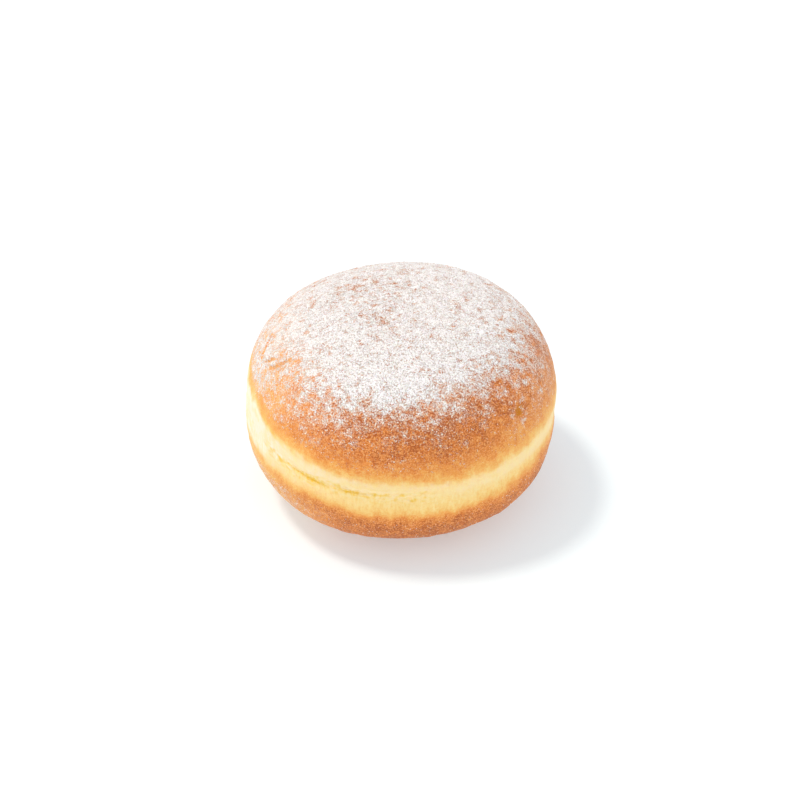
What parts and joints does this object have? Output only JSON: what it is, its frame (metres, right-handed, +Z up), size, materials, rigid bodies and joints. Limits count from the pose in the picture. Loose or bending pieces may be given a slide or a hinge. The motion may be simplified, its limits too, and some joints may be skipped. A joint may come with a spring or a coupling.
{
  "type": "berliner doughnut",
  "caption": "Round yeast doughnut without a hole: browned crusts above and below a pale belt with an open crease, dusted with powdered sugar.",
  "frame": {"origin": "middle of the footprint's box, on the surface the doughnut stands on", "axes": "+Z up through the crown, -Y towards the side with the open crease, +X to the right of it"},
  "size_m": [0.0858, 0.085, 0.0579],
  "materials": {
    "crust": "fried yeast dough crust, golden brown, dry and matte with a faint fat sheen"
  },
  "bodies": {
    "root": {"doughnut": "crust"}
  },
  "joints": []
}
